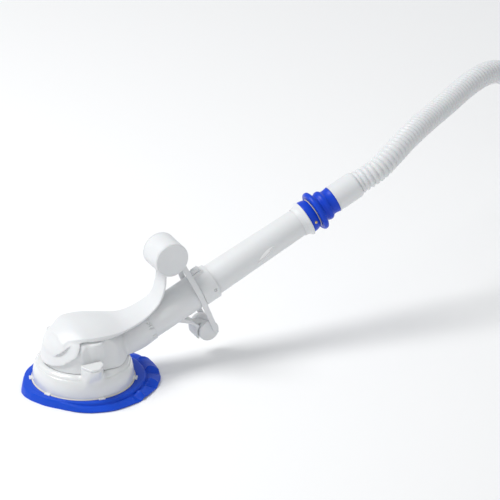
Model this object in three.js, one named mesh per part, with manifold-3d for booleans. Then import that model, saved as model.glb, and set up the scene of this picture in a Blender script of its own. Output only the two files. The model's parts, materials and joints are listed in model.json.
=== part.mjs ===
// Suction-side pool cleaner: a flapper-valve head on a flexible skirt, a rigid tube and a floating hose.
// Millimetres, +Z up. Sizes are laid out from the floor under the middle of the bowl: the nose points
// to -X, the tube rises towards +X and the left side is -Y. The finished group is then moved along X.
import * as THREE from "three";
import { mergeVertices } from "three/addons/utils/BufferGeometryUtils.js";
import Module from "manifold-3d";

const wasm = await Module();
wasm.setup();

// ---------------------------------------------------------------- driving dimensions
const clearance = 0.3; // between pieces that touch
const wall = 3; // moulded walls of the head
const overshoot = 60; // how far a cutting tool runs past what it cuts
const roundSteps = 36; // facets round the head
const skirtSteps = 48; // facets round the skirt
const tubeSteps = 24; // facets round a tube
const floatSteps = 32; // facets round the float
const smallSteps = 12; // facets round a pin or a screw

// Foot: skirt, retaining ring and bowl
const rimHeight = 12; // underside of the bowl's rim above the floor
const bowlRadius = 82;
const bowlTopRadius = 71;
const deckHeight = 50; // where the housing stands on the bowl
const mouthRadius = 60;
const throatRadius = 30;
const skirtRadius = 112;
const skirtOffset = 15; // the skirt's edge reaches further to the rear
const skirtBore = 70.6;
const skirtThickness = 3.5;
const footStrip = 5; // flat strip that rests on the floor, under the edge
const ringThickness = 3.5;
const tabAngles = [-158, -95, -32, 32, 95, 158]; // bayonet tabs, from +X
const tabSize = { reach: 5, width: 11, height: 2.5 };

// Head: housing and cover
const shoulderRadius = 67;
const shoulderHeight = 75;
const crownHeight = 114.5;
const housingTop = 98;
const coverFront = -23; // the cover reaches down to the bowl ahead of this line
const flankFoot = 62; // half width of the flat flanks, at the deck
const flankTop = 48; // and at the housing's top
const column = { x: 0, y: 41, radius: 17 };
const boss = { x: -15, width: 36, reach: 86, foot: 20, top: 72 };
const eye = { x: -53, y: 34, z: 75, length: 40, height: 7, depth: 10, pitch: 39, yaw: 38 }; // half sizes

// Neck: its left edge as x, half width and height above the housing's top
const neckEdge = [
  [-50, 30, -4],
  [-25, 44, 5],
  [0, 47, 4],
  [43, 43, 1],
  [78, 30, 1],
  [107, 24, 11],
  [127, 19, 26],
  [136, 18, 47],
  [139, 17, 76],
];
const neckThickness = 4;
const neckCrown = 9; // rise of the middle over the edges, at the head
const neckSteps = 16;

// Flapper valve
const pivotHeight = 57;
const pinRadius = 2.5;
const pinLength = 140;
const bushRadius = 6;
const flapper = { top: 75, width: 50, thickness: 7 };
const duct = { front: -34, rear: 36, width: 62, top: 80, wall: 2.5 };

// Tube
const tubePitch = 23.5;
const tubeOriginHeight = 31; // where the tube's axis crosses the middle of the bowl
const tubeRadius = 27.75;
const tubeWall = 2.6;
const bodyTube = { start: 78, end: 232 };
const fairing = { start: 44, waist: 66, end: 126, radius: tubeRadius + 9.25 };
const flowTube = { start: 80, end: 246, radius: 21.5, wall: 2 };
const collar = { start: 221, end: 250, wall: 1.45 };
const collarRadius = tubeRadius + clearance + collar.wall;
const extension = { foot: 26.5, head: 23, end: 434 };
const endRing = { length: 14, radius: 30 };
const slot = { start: 325, end: 362, width: 5.6, rise: 10, depth: 1.4 };

// Latch on the collar
const latch = {
  start: 224,
  end: 240,
  width: 12,
  travel: 2.5,
  top: collarRadius + 7.5,
  surround: collarRadius + 3.5,
};

// Float, strap and rollers
const float = { x: 148, height: 98, radius: 28.5, length: 50, wall: 2.2, cap: 3 };
const strap = { station: 216, width: 9, thickness: 2.5, waist: tubeRadius + 1.85, ends: 15 };
const roller = { x: 216, z: 50.5, radius: 17.3, inner: 8, outer: 19, bore: 2.5, hub: 9 };
const arm = { width: 15, thickness: 3, gap: 1.2, root: 165 };

// Swivel
const swivelBase = { length: 14.7, radius: 27.5, bore: 17, spigot: 20 };
const swivelWasher = 1.5;
const coupling = { length: 61, neck: 20.5, sleeve: 22 };
const cuff = { length: 46, radius: 22.5, socket: 22 };
const baseScrew = { station: 7, radius: 2.4 };

// Hose
const hoseRadius = 19.75;
const hoseBore = 17;
const hoseFloor = hoseRadius + clearance; // its axis where it lies on the floor
const hoseLead = [40]; // straight out of the cuff
const hoseRoute = [
  [562, 11, 276],
  [595, 30, 285],
  [630, 54, 288],
  [667, 82, 287],
  [706, 111, 285],
  [744, 139, 284],
  [782, 166, 284],
  [820, 190, 283],
  [845, 206, 279],
  [869, 220, 272],
  [897, 236, 256],
  [921, 250, 234],
  [942, 261, 207],
  [957, 269, 175],
  [968, 273, 140],
  [981, 279, 107],
  [1000, 287, 78],
  [1025, 295, 53],
  [1055, 303, 35],
  [1089, 309, 24],
  [1117, 311, hoseFloor + 0.5],
  [1139.2, 311, hoseFloor],
];
const coil = { x: 1270, y: 93, turn: 218, spacing: 41, turns: 2, layers: 3 };
const hoseSteps = 34;
const hoseSides = 12;

// ---------------------------------------------------------------- finishes
const white = { color: 0xf2f3f4, roughness: 0.35, metalness: 0 };
const offWhite = { color: 0xe6e3da, roughness: 0.4, metalness: 0 };
const hoseWhite = { color: 0xeceeef, roughness: 0.45, metalness: 0 };
const skirtBlue = { color: 0x1248d6, roughness: 0.5, metalness: 0 };
const swivelBlue = { color: 0x0037cd, roughness: 0.35, metalness: 0 };
const darkRubber = { color: 0x2a2c2f, roughness: 0.7, metalness: 0 };
const steel = { color: 0xb9bcc0, roughness: 0.3, metalness: 1 };
const brass = { color: 0xc9a24a, roughness: 0.3, metalness: 1 };
const foam = { color: 0xdfe6ea, roughness: 0.9, metalness: 0 };

// ---------------------------------------------------------------- solids
const radians = THREE.MathUtils.degToRad;
const vector2 = ([x, y]) => new THREE.Vector2(x, y);
const vector3 = ([x, y, z]) => new THREE.Vector3(x, y, z);

// A closed geometry as a solid, with its shared corners merged and its needle faces left out.
function solid(geometry) {
  const bare = new THREE.BufferGeometry();
  const loose = geometry.index ? geometry.toNonIndexed() : geometry;
  bare.setAttribute("position", loose.getAttribute("position"));
  const merged = mergeVertices(bare, 1e-4);
  const faces = [];
  for (let i = 0; i < merged.index.count; i += 3) {
    const [a, b, c] = [0, 1, 2].map((k) => merged.index.getX(i + k));
    if (a !== b && b !== c && c !== a) faces.push(a, b, c);
  }
  const vertProperties = merged.attributes.position.array;
  const triVerts = new Uint32Array(faces);
  return new wasm.Manifold(new wasm.Mesh({ numProp: 3, vertProperties, triVerts }));
}

// Twice the area inside an outline, positive when it runs anticlockwise.
function turning(outline) {
  return outline.reduce((sum, [x, y], i) => {
    const [nextX, nextY] = outline[(i + 1) % outline.length];
    return sum + x * nextY - nextX * y;
  }, 0);
}

// A closed profile of radius and height, turned about Z.
function turned(profile, steps = roundSteps) {
  const onAxis = profile[0][0] === 0;
  const outline = turning(profile) > 0 ? [...profile] : [...profile].reverse();
  const points = (onAxis ? outline : [...outline, outline[0]]).map(vector2);
  return solid(new THREE.LatheGeometry(points, steps).rotateX(Math.PI / 2));
}

// A straight round piece along Z, solid or with a bore.
function round(radius, from, to, bore = 0, steps = tubeSteps) {
  return turned([[bore, from], [radius, from], [radius, to], [bore, to]], steps);
}

// A round piece along Y.
function crosswise(radius, from, to, bore = 0, steps = tubeSteps) {
  return round(radius, -to, -from, bore, steps).rotate([90, 0, 0]);
}

function shapeOf(outline) {
  return outline instanceof THREE.Shape ? outline : new THREE.Shape(outline.map(vector2));
}

// An outline in X and Y, raised from one height to another.
function raised(outline, from, to) {
  const options = { depth: to - from, bevelEnabled: false, curveSegments: 12 };
  return solid(new THREE.ExtrudeGeometry(shapeOf(outline), options)).translate([0, 0, from]);
}

// An outline in X and Z, spread across Y.
function spread(outline, from, to) {
  return raised(outline, -to, -from).rotate([90, 0, 0]);
}

// An outline in Y and Z, run along X.
function along(outline, from, to) {
  return raised(outline, from, to).rotate([90, 0, 90]);
}

function block(x, y, z) {
  const centre = [x, y, z].map(([low, high]) => (low + high) / 2);
  return solid(new THREE.BoxGeometry(x[1] - x[0], y[1] - y[0], z[1] - z[0])).translate(centre);
}

const both = (make) => make(-1).add(make(1));

// ---------------------------------------------------------------- the tube's own frame
// In it Z runs up the tube's axis from the middle of the bowl, Y stays, and -X is the tube's top side.
const tubeFrame = new THREE.Matrix4()
  .makeTranslation(0, 0, tubeOriginHeight)
  .multiply(new THREE.Matrix4().makeRotationY(radians(90 - tubePitch)));
const fromTube = (shape) => shape.transform(tubeFrame.elements);

// A place in X and Z as its station along the tube and its height over the tube's axis.
function onTube(x, z) {
  const place = new THREE.Vector3(x, 0, z).applyMatrix4(tubeFrame.clone().invert());
  return { station: place.z, over: -place.x };
}

// ---------------------------------------------------------------- shapes that several pieces share
function bowlOutside(gap = 0) {
  return turned([
    [0, rimHeight - gap],
    [bowlRadius + gap, rimHeight - gap],
    [bowlRadius - 0.4 + gap, rimHeight + 5],
    [bowlRadius - 2 + gap, rimHeight + 14],
    [bowlTopRadius + 3 + gap, deckHeight - 10],
    [bowlTopRadius + gap, deckHeight - 3],
    [bowlTopRadius - 1 + gap, deckHeight - clearance + gap],
    [0, deckHeight - clearance + gap],
  ]);
}

// The helmet's round outside: straight sides, then an oval cap.
function dome(gap = 0, foot = deckHeight) {
  const capSteps = 7;
  const profile = [[0, foot], [bowlTopRadius - 1 + gap, foot]];
  for (let i = 0; i <= capSteps; i += 1) {
    const angle = ((i / capSteps) * Math.PI) / 2;
    const radius = i === capSteps ? 0 : (shoulderRadius + gap) * Math.cos(angle);
    profile.push([radius, shoulderHeight + (crownHeight - shoulderHeight + gap) * Math.sin(angle)]);
  }
  return turned(profile);
}

// Everything outside the flat flanks, behind the cover's front line.
function besideFlanks(gap = 0, front = coverFront) {
  const lean = (flankFoot - flankTop) / (housingTop - deckHeight);
  const foot = flankFoot + gap + lean * overshoot;
  const top = flankTop + gap - lean * overshoot;
  const far = bowlRadius + overshoot;
  const half = (side) => [
    [side * foot, deckHeight - overshoot],
    [side * far, deckHeight - overshoot],
    [side * far, housingTop + overshoot],
    [side * top, housingTop + overshoot],
  ];
  return both((side) => along(half(side), front, far));
}

// The neck: a bowed ribbon that leaves the cover and curls up under the float.
function neck(grown = 0) {
  const edge = new THREE.CatmullRomCurve3(neckEdge.map(([x, y, z]) => vector3([x, y, z + housingTop])));
  const ribbon = new THREE.BoxGeometry(1, 2, 1, neckSteps, 6, 1);
  const corners = ribbon.attributes.position;
  for (let i = 0; i < corners.count; i += 1) {
    const share = corners.getX(i) + 0.5;
    const across = corners.getY(i);
    const point = edge.getPoint(share);
    const heading = edge.getTangent(share).setY(0).normalize();
    const bow = neckCrown * (1 - across * across) * Math.max(0, 1 - 1.25 * share);
    const height = bow + corners.getZ(i) * (neckThickness + 2 * grown) - neckThickness / 2;
    corners.setXYZ(
      i,
      point.x - heading.z * height,
      across * (point.y + grown),
      point.z + heading.x * height,
    );
  }
  return solid(ribbon);
}

// A lens-shaped scoop on each side of the nose.
function eyeScoops(grown = 0) {
  return both((side) =>
    solid(new THREE.SphereGeometry(1, 12, 6))
      .scale([eye.length + grown, eye.depth + grown, eye.height + grown])
      .rotate([0, -eye.pitch, 0])
      .rotate([0, 0, side * -eye.yaw])
      .translate([eye.x, side * eye.y, eye.z]),
  );
}

const floatPlace = [float.x, 0, housingTop + float.height];
const floatRound = (gap) => crosswise(float.radius + gap, -float.length, float.length, 0, floatSteps)
  .translate(floatPlace);
const tubeRound = (gap) => fromTube(round(tubeRadius + gap, 0, collar.end));

// ---------------------------------------------------------------- foot
// The skirt's edge is a circle set back from the bowl, and the skirt falls to the floor outside a step.
function skirtDisc() {
  const inner = rimHeight - clearance;
  const edge = bowlRadius + 14;
  const profile = [
    [skirtBore, inner - skirtThickness],
    [bowlRadius, inner - skirtThickness],
    [edge, inner - skirtThickness - 1],
    [edge + 7, 2],
    [skirtRadius - footStrip, 0],
    [skirtRadius, 0],
    [skirtRadius, 3],
    [edge + 9, skirtThickness + 4.5],
    [edge + 3, inner - 2.5],
    [edge, inner],
    [bowlRadius + 2, inner],
    [skirtBore, inner],
  ];
  const points = [...profile, profile[0]].map(vector2);
  const disc = new THREE.LatheGeometry(points, skirtSteps).rotateX(Math.PI / 2);
  const corners = disc.attributes.position;
  for (let i = 0; i < corners.count; i += 1) {
    const radius = Math.hypot(corners.getX(i), corners.getY(i));
    const share = Math.max(0, (radius - bowlRadius - 2) / (skirtRadius - bowlRadius - 2));
    corners.setX(i, corners.getX(i) + skirtOffset * share);
  }
  return solid(disc);
}

function footRing() {
  const top = rimHeight - 2 * clearance - skirtThickness;
  return turned([
    [mouthRadius, top - ringThickness],
    [bowlRadius - 3, top - ringThickness],
    [bowlRadius - 2, top - ringThickness + 1],
    [bowlRadius - 2, top],
    [skirtBore - 2 * clearance, top],
    [skirtBore - 2 * clearance, rimHeight - clearance],
    [mouthRadius, rimHeight - clearance],
  ]);
}

function footBowl() {
  const ceiling = deckHeight - clearance - wall;
  const inside = turned([
    [0, rimHeight + wall],
    [bowlRadius - wall - 1, rimHeight + wall],
    [bowlRadius - wall - 2, rimHeight + 14],
    [bowlTopRadius - wall + 2, deckHeight - 10],
    [bowlTopRadius - wall - 2, ceiling],
    [0, ceiling],
  ]);
  const mouth = round(mouthRadius, 0, rimHeight + wall + 1, 0, roundSteps);
  const throat = round(throatRadius, ceiling - 1, deckHeight + 1, 0, roundSteps);
  const tabs = tabAngles.map((angle) =>
    block(
      [bowlRadius - 2, bowlRadius + tabSize.reach],
      [-tabSize.width / 2, tabSize.width / 2],
      [rimHeight, rimHeight + tabSize.height],
    ).rotate([0, 0, angle]),
  );
  const shell = bowlOutside().subtract(inside).subtract(mouth).subtract(throat);
  return tabs.reduce((whole, tab) => whole.add(tab), shell);
}

function throatSeat() {
  const outer = throatRadius - clearance;
  const lipTop = deckHeight - wall - 2 * clearance;
  return turned([
    [outer - 4, lipTop - 6],
    [outer + 4, lipTop - wall],
    [outer + 4, lipTop],
    [outer, lipTop],
    [outer, deckHeight - clearance],
    [outer - 4, deckHeight - clearance],
  ]);
}

// ---------------------------------------------------------------- head
// A round socket that fairs the tube into the housing, thickest at its root.
function tubeFairing(gap = 0) {
  return fromTube(turned([
    [0, fairing.start],
    [fairing.radius + gap, fairing.start],
    [fairing.radius + gap, fairing.waist],
    [fairing.radius - 5 + gap, fairing.waist + 20],
    [fairing.radius - 7.5 + gap, fairing.waist + 40],
    [tubeRadius + clearance + 0.9 + gap, fairing.end],
    [0, fairing.end],
  ], tubeSteps));
}

function columns(gap = 0) {
  return both((side) => round(column.radius + gap, deckHeight, housingTop, 0, smallSteps * 2)
    .translate([column.x, side * column.y, 0]));
}

const aheadOfFront = (gap) => block(
  [-bowlRadius - overshoot, coverFront + gap],
  [-bowlRadius - overshoot, bowlRadius + overshoot],
  [deckHeight - 1, crownHeight + overshoot],
);
const aboveHousing = (gap) => block(
  [-bowlRadius - overshoot, bowlRadius + overshoot],
  [-bowlRadius - overshoot, bowlRadius + overshoot],
  [housingTop + gap, crownHeight + overshoot],
);

function bodyHousing() {
  const underCover = dome(-wall - clearance).subtract(besideFlanks());
  const behind = dome().subtract(aheadOfFront(clearance)).subtract(besideFlanks());
  const hollow = dome(-2 * wall - clearance, deckHeight - 1).subtract(besideFlanks(-wall));
  const roof = aboveHousing(-wall);
  const underDeck = block([0, 2 * bowlRadius], [-bowlRadius, bowlRadius], [0, deckHeight]);
  const pinHoles = crosswise(bushRadius + clearance, -bowlRadius, bowlRadius, 0, smallSteps)
    .translate([boss.x, 0, pivotHeight]);
  return underCover
    .add(behind)
    .add(columns())
    .add(tubeFairing())
    .subtract(hollow.subtract(roof))
    .subtract(aboveHousing(0))
    .subtract(underDeck)
    .subtract(bowlOutside(clearance))
    .subtract(neck(clearance))
    .subtract(eyeScoops(wall + clearance).intersect(aheadOfFront(clearance)))
    .subtract(tubeRound(clearance))
    .subtract(pinHoles);
}

function topCover() {
  const eyeWalls = eyeScoops(wall).intersect(dome());
  const front = dome().subtract(dome(-wall, deckHeight - 1)).add(eyeWalls).intersect(aheadOfFront(0));
  const cap = dome().add(neck()).intersect(aboveHousing(clearance));
  const overTube = neck().intersect(block(
    [float.x / 2, 2 * float.x],
    [-bowlRadius, bowlRadius],
    [deckHeight, 2 * housingTop],
  ));
  return front
    .add(cap)
    .add(overTube)
    .subtract(eyeScoops())
    .subtract(floatRound(clearance))
    .subtract(tubeRound(clearance));
}

function pivotCap(side) {
  const half = boss.width / 2;
  const front = boss.reach;
  const outline = [
    [boss.x - half, side * 40],
    [boss.x - half, side * (front - 10)],
    [boss.x - half + 4, side * (front - 4)],
    [boss.x - half + 11, side * front],
    [boss.x + half - 13, side * front],
    [boss.x + half - 5, side * (front - 5)],
    [boss.x + half, side * (front - 15)],
    [boss.x + half, side * 40],
  ];
  const pinHole = crosswise(pinRadius + clearance, -pinLength / 2 - 1, pinLength / 2 + 1, 0, smallSteps)
    .translate([boss.x, 0, pivotHeight]);
  const head = dome(clearance).subtract(besideFlanks(clearance, coverFront + clearance));
  return raised(side < 0 ? outline : outline.reverse(), boss.foot, boss.top)
    .subtract(bowlOutside(clearance))
    .subtract(head)
    .subtract(columns(clearance).intersect(besideFlanks()))
    .subtract(crosswise(bushRadius + clearance, -flankFoot - 3, flankFoot + 3, 0, smallSteps)
      .translate([boss.x, 0, pivotHeight]))
    .subtract(pinHole);
}

// ---------------------------------------------------------------- flapper valve
// The duct is a box over the throat, open below, with a round way out to the flow tube.
function flowDuct() {
  const half = duct.width / 2;
  const outer = block([duct.front, duct.rear], [-half, half], [deckHeight, duct.top]);
  const inner = block(
    [duct.front + duct.wall, duct.rear - duct.wall],
    [-half + duct.wall, half - duct.wall],
    [deckHeight - 1, duct.top - duct.wall],
  );
  const wayOut = fromTube(round(flowTube.radius + clearance, 0, flowTube.end));
  const pinHole = crosswise(pinRadius + clearance, -half - 1, half + 1, 0, smallSteps)
    .translate([boss.x, 0, pivotHeight]);
  return outer.subtract(inner).subtract(wayOut).subtract(pinHole);
}

// The flapper stands on its pin and rocks between the front and the rear of the duct.
function flapperValve() {
  const half = flapper.width / 2;
  const hub = pinRadius + 4;
  const blade = [
    [-flapper.thickness / 2, 0],
    [flapper.thickness / 2, 0],
    [2, flapper.top - pivotHeight],
    [-2, flapper.top - pivotHeight],
  ];
  return spread(blade, -half, half)
    .add(crosswise(hub, -half, half, 0, smallSteps))
    .subtract(crosswise(pinRadius + clearance, -half - 1, half + 1, 0, smallSteps))
    .translate([boss.x, 0, pivotHeight]);
}

const flapperPin = () => crosswise(pinRadius, -pinLength / 2, pinLength / 2, 0, smallSteps)
  .translate([boss.x, 0, pivotHeight]);

// A bush in the flank's wall, between the duct and the pivot cap.
function pivotBush(side) {
  const inner = duct.width / 2 + clearance;
  const bush = crosswise(bushRadius, inner, flankFoot + 2, pinRadius + clearance, smallSteps);
  return (side < 0 ? bush.rotate([0, 0, 180]) : bush).translate([boss.x, 0, pivotHeight]);
}

// ---------------------------------------------------------------- tube, in its own frame
const extensionFoot = bodyTube.end + clearance;

function extensionRadius(station) {
  const share = (station - extensionFoot) / (extension.end - extensionFoot);
  return extension.foot + (extension.head - extension.foot) * share;
}

const bodyTubeShape = () => round(tubeRadius, bodyTube.start, bodyTube.end, tubeRadius - tubeWall);

function flowTubeShape() {
  const inner = flowTube.radius - flowTube.wall;
  const seat = tubeRadius - tubeWall - clearance;
  return turned([
    [inner, flowTube.start],
    [flowTube.radius, flowTube.start],
    [flowTube.radius, bodyTube.start + 20],
    [seat, bodyTube.start + 21],
    [seat, bodyTube.start + 24],
    [flowTube.radius, bodyTube.start + 25],
    [flowTube.radius, flowTube.end - 6],
    [extensionRadius(flowTube.end) - tubeWall - clearance, flowTube.end - 4],
    [extensionRadius(flowTube.end) - tubeWall - clearance, flowTube.end],
    [inner, flowTube.end],
  ], tubeSteps);
}

// The collar joins the body tube to the extension tube and holds the latch in a raised surround.
function collarShape() {
  const ring = turned([
    [tubeRadius + clearance, collar.start],
    [collarRadius, collar.start],
    [collarRadius, collar.end],
    [extension.foot + clearance, collar.end],
    [extension.foot + clearance, extensionFoot],
    [tubeRadius + clearance, extensionFoot],
  ], tubeSteps);
  const half = latch.width / 2;
  const surround = block(
    [-latch.surround, -tubeRadius - 1],
    [-half - 2.5, half + 2.5],
    [collar.start + 0.5, latch.end + 2.5],
  ).intersect(round(2 * latch.surround, 0, 2 * collar.end, tubeRadius + 2 * clearance));
  const well = block(
    [-latch.surround - 1, -latchFloor],
    [-half - clearance, half + clearance],
    [latch.start - clearance, latch.end + clearance],
  );
  const screwHoles = both((side) => screwSpace(side, clearance));
  return ring.add(surround).subtract(well).subtract(screwHoles);
}

const latchFloor = tubeRadius + 1.6;
const latchFoot = latchFloor + clearance + latch.travel;
const springRadius = latch.width / 4;

function latchButton() {
  const half = latch.width / 2;
  const middle = (latch.start + latch.end) / 2;
  const slope = [
    [-latchFoot, latch.start],
    [-latch.surround, latch.start],
    [-latch.top + 1, latch.start + 2],
    [-latch.top, latch.end - 5],
    [-latch.surround, latch.end],
    [-latchFoot, latch.end],
  ];
  const springHole = round(springRadius + clearance, latchFoot - 1, latch.top - 1.5, 0, smallSteps)
    .rotate([0, -90, 0]).translate([0, 0, middle]);
  return spread(slope.reverse(), -half, half).subtract(springHole);
}

function latchSpring() {
  const turns = 2;
  const wire = 0.35;
  const reach = latch.top - 1.5 - latch.travel - 2 * clearance - wire;
  const points = [];
  const count = turns * 12;
  const foot = latchFloor + clearance + wire;
  for (let i = 0; i <= count; i += 1) {
    const angle = (i / 12) * 2 * Math.PI;
    const height = foot + ((reach - foot) * i) / count;
    points.push(new THREE.Vector3(
      Math.cos(angle) * (springRadius - wire),
      Math.sin(angle) * (springRadius - wire),
      height,
    ));
  }
  return sweep(points, wire, 6, turns * 14).rotate([0, -90, 0])
    .translate([0, 0, (latch.start + latch.end) / 2]);
}

const screwStation = collar.end - 7;

function screwSpace(side, gap = 0) {
  return round(2.2 + gap, collarRadius - 1.6 - gap, collarRadius + 3 * gap + 0.5, 0, smallSteps)
    .rotate([side * -90, 0, 0]).translate([0, 0, screwStation]);
}

const collarScrew = (side) => screwSpace(side);

function extensionTube() {
  const outer = turned([
    [0, extensionFoot],
    [extension.foot, extensionFoot],
    [extension.head, extension.end],
    [0, extension.end],
  ], tubeSteps);
  const bore = turned([
    [0, extensionFoot - 1],
    [extension.foot - tubeWall, extensionFoot - 1],
    [extension.head - tubeWall, extension.end + 1],
    [0, extension.end + 1],
  ], tubeSteps);
  const middle = (slot.start + slot.end) / 2;
  const half = (slot.end - slot.start) / 2;
  const crescent = new THREE.Shape();
  crescent.moveTo(-half, -slot.rise / 2);
  crescent.quadraticCurveTo(half * 0.2, -slot.rise / 2 - 1, half, slot.rise / 2);
  crescent.quadraticCurveTo(0, -slot.rise / 2 + 2 * slot.width, -half, -slot.rise / 2);
  const surface = extensionRadius(middle);
  const cutter = spread(crescent, 0, slot.depth + 8)
    .rotate([0, -90, 0])
    .translate([0, -surface - 8, middle]);
  return outer.subtract(bore).subtract(cutter);
}

function tubeEndRing() {
  const start = extension.end - endRing.length;
  const bore = extensionRadius(start) + clearance;
  return turned([
    [bore, start],
    [bore + 0.8, start],
    [bore + 2, start + endRing.length / 2],
    [endRing.radius - 0.8, extension.end - 3],
    [endRing.radius, extension.end - 2],
    [endRing.radius, extension.end],
    [bore, extension.end],
  ], tubeSteps);
}

const baseStart = extension.end + clearance;
const baseEnd = baseStart + swivelBase.length;
const washerStart = baseEnd + clearance;
const couplingStart = washerStart + swivelWasher + clearance;
const cuffStart = couplingStart + coupling.length - coupling.sleeve;
const cuffEnd = cuffStart + cuff.length;

function baseScrewSpace(gap = 0) {
  const foot = swivelBase.radius - 4 - gap;
  const head = swivelBase.radius + 0.6 + 3 * gap;
  return round(baseScrew.radius + gap, foot, head, 0, smallSteps)
    .rotate([90, 0, 0]).translate([0, 0, baseStart + baseScrew.station]);
}

function swivelBaseShape() {
  return turned([
    [swivelBase.bore, baseStart - 20],
    [swivelBase.spigot, baseStart - 20],
    [swivelBase.spigot, baseStart],
    [swivelBase.radius - 0.5, baseStart],
    [swivelBase.radius, baseStart + 2],
    [swivelBase.radius - 1, baseEnd],
    [swivelBase.bore, baseEnd],
  ], tubeSteps).subtract(baseScrewSpace(clearance));
}

const washerShape = () => round(
  swivelBase.radius - 2.5,
  washerStart,
  washerStart + swivelWasher,
  swivelBase.bore,
);

// The coupling's inner sleeve turns in the base; outside it has a thick lip, a second ring and a neck.
function swivelCoupling() {
  const at = (distance) => couplingStart + distance;
  const sleeveRadius = swivelBase.bore - clearance;
  return turned([
    [hoseBore - 3, baseStart],
    [sleeveRadius, baseStart],
    [sleeveRadius, at(0)],
    [27, at(0)],
    [32.5, at(1)],
    [33.5, at(3)],
    [33, at(6)],
    [29, at(8)],
    [24.5, at(11)],
    [22.5, at(16)],
    [25, at(20)],
    [25, at(24)],
    [coupling.neck + 1, at(27)],
    [coupling.neck, at(31)],
    [coupling.neck, at(coupling.length - clearance)],
    [hoseBore - 3, at(coupling.length - clearance)],
  ], tubeSteps);
}

// A cuff: a wide socket at its start, and the hose's bore beyond.
function cuffShape(start = cuffStart, socketRadius = coupling.neck) {
  return turned([
    [socketRadius + clearance, start],
    [cuff.radius, start],
    [cuff.radius, start + cuff.length - 2],
    [cuff.radius - 1, start + cuff.length],
    [hoseBore, start + cuff.length],
    [hoseBore, start + cuff.socket],
    [socketRadius + clearance, start + cuff.socket],
  ], tubeSteps);
}

// ---------------------------------------------------------------- float
function floatShell() {
  const half = float.length / 2 - float.cap;
  return crosswise(float.radius, -half, half, float.radius - float.wall, floatSteps);
}

function floatCap(side) {
  const inner = float.length / 2 - float.cap + clearance;
  const spigot = crosswise(
    float.radius - float.wall - clearance,
    inner - 5,
    inner,
    float.radius - 2 * float.wall - clearance,
    floatSteps,
  );
  const cap = crosswise(float.radius, inner, float.length / 2, 0, floatSteps)
    .add(spigot)
    .add(crosswise(float.radius - float.wall - 1, inner - 1, inner + 1, 0, floatSteps));
  return side < 0 ? cap.rotate([0, 0, 180]) : cap;
}

const floatCore = () => crosswise(
  float.radius - 2 * float.wall - 2 * clearance,
  -float.length / 2 + float.cap + 1,
  float.length / 2 - float.cap - 1,
);

// ---------------------------------------------------------------- bumper strap and rollers
const floatOnTube = onTube(floatPlace[0], floatPlace[2]);
const rollerOnTube = onTube(roller.x, roller.z);

// How far from a round piece's middle its side lies, along the tube's top side, nearest the strap.
function reachAt(place, radius) {
  const ahead = Math.max(0, strap.station - strap.width / 2 - place.station);
  return Math.sqrt(radius * radius - ahead * ahead);
}

// A closed band in a plane across the tube: from under the float, round the tube, to the rollers.
function bumperStrap() {
  const half = strap.thickness / 2;
  const top = floatOnTube.over - reachAt(floatOnTube, float.radius) - clearance - half;
  const bottom = rollerOnTube.over + reachAt(rollerOnTube, roller.radius) + 2 * clearance + half;
  const right = [
    [-top, 0],
    [-top + 2, strap.ends * 0.7],
    [-top + 10, strap.ends],
    [-tubeRadius * 0.75, strap.waist - 2],
    [0, strap.waist],
    [tubeRadius * 0.75, strap.waist - 2.5],
    [-bottom - 9, strap.ends + 2],
    [-bottom - 2, strap.ends * 0.7],
    [-bottom, 0],
  ];
  const left = right.slice(1, -1).reverse().map(([x, y]) => [x, -y]);
  const middle = new THREE.CatmullRomCurve3([...right, ...left].map(([x, y]) => vector3([x, y, 0])), true);
  const bandSteps = 44;
  const edge = (offset) => middle.getSpacedPoints(bandSteps).slice(0, bandSteps).map((point, i) => {
    const heading = middle.getTangentAt(i / bandSteps);
    return [point.x + heading.y * offset, point.y - heading.x * offset];
  });
  const from = strap.station - strap.width / 2;
  const to = strap.station + strap.width / 2;
  const sides = [edge(half), edge(-half)].map((outline) => raised(outline, from, to));
  const [large, small] = sides[0].volume() > sides[1].volume() ? sides : [...sides].reverse();
  return large.subtract(small.scale([1, 1, 3]).translate([0, 0, -2 * strap.station]))
    .subtract(round(tubeRadius + clearance, 0, collar.end));
}

// The arm leaves the tube's underside, cups the rollers from ahead and carries the axle between them.
function rollerArm() {
  const inner = roller.radius + arm.gap;
  const outer = inner + arm.thickness;
  const onCircle = (radius, angle) => [
    roller.x + radius * Math.cos(radians(angle)),
    roller.z + radius * Math.sin(radians(angle)),
  ];
  const rootLow = [arm.root - 4, 72];
  const rootHigh = [arm.root + 8, 82];
  const cup = [
    rootHigh,
    [182, 70.5],
    onCircle(inner, 160),
    onCircle(inner, 180),
    onCircle(inner, 198),
    onCircle(inner, 214),
    onCircle(outer, 214),
    onCircle(outer, 198),
    onCircle(outer, 180),
    onCircle(outer, 164),
    [179, 68],
    rootLow,
  ];
  const ear = [
    onCircle(inner + 1, 160),
    onCircle(inner + 1, 214),
    [roller.x, roller.z - roller.hub],
    [roller.x, roller.z + roller.hub],
  ];
  const earHalf = roller.inner - clearance;
  return spread(cup.reverse(), -arm.width, arm.width)
    .add(spread(ear, -earHalf, earHalf))
    .add(crosswise(roller.hub, -earHalf, earHalf).translate([roller.x, 0, roller.z]))
    .subtract(crosswise(roller.bore + clearance, -arm.width, arm.width, 0, smallSteps)
      .translate([roller.x, 0, roller.z]))
    .subtract(tubeRound(clearance));
}

const rollerAxle = () => crosswise(roller.bore, -roller.outer + 3, roller.outer - 3, 0, smallSteps)
  .translate([roller.x, 0, roller.z]);

function rollerWheel(side) {
  const wheel = turned([
    [roller.bore + clearance, roller.inner],
    [roller.radius - 3.5, roller.inner],
    [roller.radius, roller.inner + 3],
    [roller.radius, roller.outer - 1],
    [roller.radius - 1, roller.outer],
    [0, roller.outer],
    [0, roller.outer - 3 + clearance],
    [roller.bore + clearance, roller.outer - 3 + clearance],
  ], tubeSteps);
  return wheel.rotate([side * -90, 0, 0]).translate([roller.x, 0, roller.z]);
}

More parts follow.
